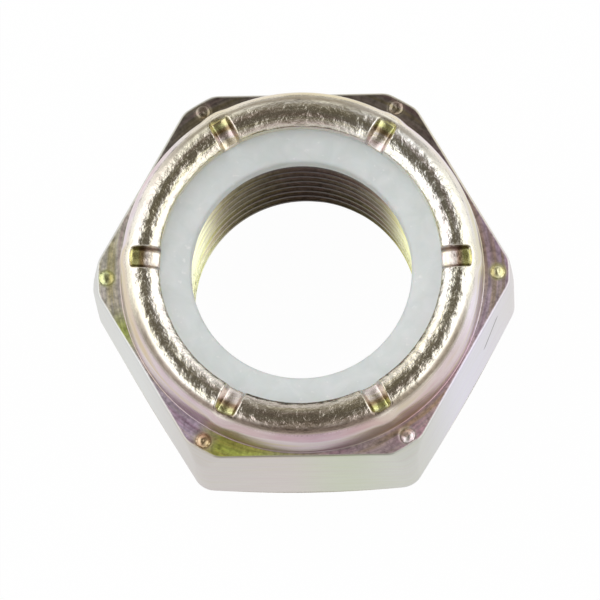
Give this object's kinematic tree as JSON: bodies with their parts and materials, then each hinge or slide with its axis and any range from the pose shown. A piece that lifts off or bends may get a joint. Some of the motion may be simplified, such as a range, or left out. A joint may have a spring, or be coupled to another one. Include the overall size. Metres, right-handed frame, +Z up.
{
  "type": "nylon insert lock nut",
  "caption": "Hexagonal lock nut with a round collar crimped in over a pale nylon ring, notched across its rim, pips at its corners.",
  "frame": {"origin": "centre of the bearing face, on the thread axis", "axes": "+Z up the thread axis towards the crimped collar, +X through a corner of the hexagon, a flat faces -Y"},
  "size_m": [0.0326, 0.0286, 0.018],
  "materials": {
    "plated_steel": "steel, yellow chromated zinc plate, satin on the flats, burnished on the rolled rim",
    "nylon": "natural nylon, milky grey-white"
  },
  "bodies": {
    "root": {"nut_body": "plated_steel", "nylon_insert": "nylon"}
  },
  "joints": []
}
